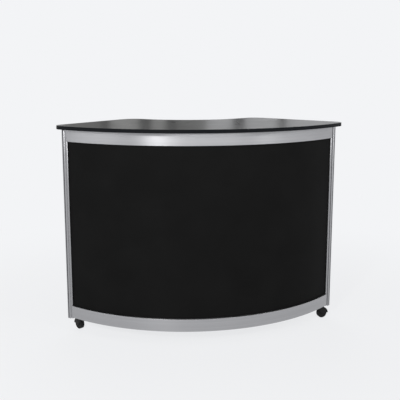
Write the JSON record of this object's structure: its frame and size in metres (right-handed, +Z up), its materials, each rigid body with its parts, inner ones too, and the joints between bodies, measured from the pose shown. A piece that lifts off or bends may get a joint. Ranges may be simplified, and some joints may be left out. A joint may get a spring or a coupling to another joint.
{
  "type": "curved counter",
  "caption": "Curved display counter on casters: octagonal aluminium uprights and bent beams hold black panels under a black worktop; open back with shelf and base board.",
  "frame": {"origin": "on the floor, under the middle of the bounding box", "axes": "+Z up, -Y towards the convex front, +X to the right of someone facing the front"},
  "size_m": [1.4794, 0.7172, 1.0801],
  "materials": {
    "upright_aluminium": "satin natural anodised extrusion",
    "beam_aluminium": "satin natural anodised extrusion, bent to a radius",
    "rail_aluminium": "satin natural anodised angle",
    "lock_steel": "zinc plated",
    "panel_black": "matt black sheet",
    "worktop_laminate": "semi-gloss black laminate on particle board",
    "worktop_edge": "satin black edge band",
    "batten_plywood": "sanded plywood",
    "board_melamine": "light grey melamine on particle board",
    "caster_steel": "zinc plated pressing",
    "axle_steel": "black oxide pin",
    "caster_nylon": "moulded black nylon",
    "caster_tread": "cast black polyurethane wheel"
  },
  "bodies": {
    "root": {"upright_front_left": "upright_aluminium", "upright_front_right": "upright_aluminium", "upright_rear_left": "upright_aluminium", "upright_rear_right": "upright_aluminium", "beam_front_top": "beam_aluminium", "lock_front_top_left": "lock_steel", "lock_front_top_right": "lock_steel", "beam_front_bottom": "beam_aluminium", "lock_front_bottom_left": "lock_steel", "lock_front_bottom_right": "lock_steel", "beam_rear_top": "beam_aluminium", "lock_rear_top_left": "lock_steel", "lock_rear_top_right": "lock_steel", "beam_rear_bottom": "beam_aluminium", "lock_rear_bottom_left": "lock_steel", "lock_rear_bottom_right": "lock_steel", "beam_left_top": "beam_aluminium", "lock_left_top_front": "lock_steel", "lock_left_top_rear": "lock_steel", "beam_left_bottom": "beam_aluminium", "lock_left_bottom_front": "lock_steel", "lock_left_bottom_rear": "lock_steel", "beam_right_top": "beam_aluminium", "lock_right_top_front": "lock_steel", "lock_right_top_rear": "lock_steel", "beam_right_bottom": "beam_aluminium", "lock_right_bottom_front": "lock_steel", "lock_right_bottom_rear": "lock_steel", "panel_front": "panel_black", "panel_left": "panel_black", "panel_right": "panel_black", "worktop_board": "worktop_laminate", "worktop_edge_band": "worktop_edge", "worktop_batten_left": "batten_plywood", "shelf_rail_left": "rail_aluminium", "worktop_batten_right": "batten_plywood", "shelf_rail_right": "rail_aluminium", "base_board": "board_melamine", "shelf_board": "board_melamine", "caster_front_left_plate": "caster_steel", "caster_front_right_plate": "caster_steel", "caster_front_centre_plate": "caster_steel", "caster_rear_left_plate": "caster_steel", "caster_rear_right_plate": "caster_steel"},
    "caster_front_left_swivel": {"caster_front_left_hood": "caster_nylon", "caster_front_left_axle": "axle_steel"},
    "caster_front_left_wheel": {"caster_front_left_wheel": "caster_tread"},
    "caster_front_right_swivel": {"caster_front_right_hood": "caster_nylon", "caster_front_right_axle": "axle_steel"},
    "caster_front_right_wheel": {"caster_front_right_wheel": "caster_tread"},
    "caster_front_centre_swivel": {"caster_front_centre_hood": "caster_nylon", "caster_front_centre_axle": "axle_steel"},
    "caster_front_centre_wheel": {"caster_front_centre_wheel": "caster_tread"},
    "caster_rear_left_swivel": {"caster_rear_left_hood": "caster_nylon", "caster_rear_left_axle": "axle_steel"},
    "caster_rear_left_wheel": {"caster_rear_left_wheel": "caster_tread"},
    "caster_rear_right_swivel": {"caster_rear_right_hood": "caster_nylon", "caster_rear_right_axle": "axle_steel"},
    "caster_rear_right_wheel": {"caster_rear_right_wheel": "caster_tread"}
  },
  "joints": [
    {"name": "caster_front_left_swivel", "type": "hinge", "parent": "root", "child": "caster_front_left_swivel", "pos_m": [-0.63781, -0.03764, 0.0563], "axis": [0, 0, 1], "continuous": true},
    {"name": "caster_front_left_wheel_roll", "type": "hinge", "parent": "caster_front_left_swivel", "child": "caster_front_left_wheel", "pos_m": [-0.65536, -0.01518, 0.0275], "axis": [-0.788, -0.6157, 0], "continuous": true},
    {"name": "caster_front_right_swivel", "type": "hinge", "parent": "root", "child": "caster_front_right_swivel", "pos_m": [0.63781, -0.03764, 0.0563], "axis": [0, 0, 1], "continuous": true},
    {"name": "caster_front_right_wheel_roll", "type": "hinge", "parent": "caster_front_right_swivel", "child": "caster_front_right_wheel", "pos_m": [0.66568, -0.03172, 0.0275], "axis": [-0.2079, 0.9781, 0], "continuous": true},
    {"name": "caster_front_centre_swivel", "type": "hinge", "parent": "root", "child": "caster_front_centre_swivel", "pos_m": [0, -0.13356, 0.0563], "axis": [0, 0, 1], "continuous": true},
    {"name": "caster_front_centre_wheel_roll", "type": "hinge", "parent": "caster_front_centre_swivel", "child": "caster_front_centre_wheel", "pos_m": [0, -0.10507, 0.0275], "axis": [-1, 0, 0], "continuous": true},
    {"name": "caster_rear_left_swivel", "type": "hinge", "parent": "root", "child": "caster_rear_left_swivel", "pos_m": [-0.33658, 0.26359, 0.0563], "axis": [0, 0, 1], "continuous": true},
    {"name": "caster_rear_left_wheel_roll", "type": "hinge", "parent": "caster_rear_left_swivel", "child": "caster_rear_left_wheel", "pos_m": [-0.36126, 0.27784, 0.0275], "axis": [-0.5, -0.866, 0], "continuous": true},
    {"name": "caster_rear_right_swivel", "type": "hinge", "parent": "root", "child": "caster_rear_right_swivel", "pos_m": [0.33658, 0.26359, 0.0563], "axis": [0, 0, 1], "continuous": true},
    {"name": "caster_rear_right_wheel_roll", "type": "hinge", "parent": "caster_rear_right_swivel", "child": "caster_rear_right_wheel", "pos_m": [0.36126, 0.27784, 0.0275], "axis": [-0.5, 0.866, 0], "continuous": true}
  ]
}
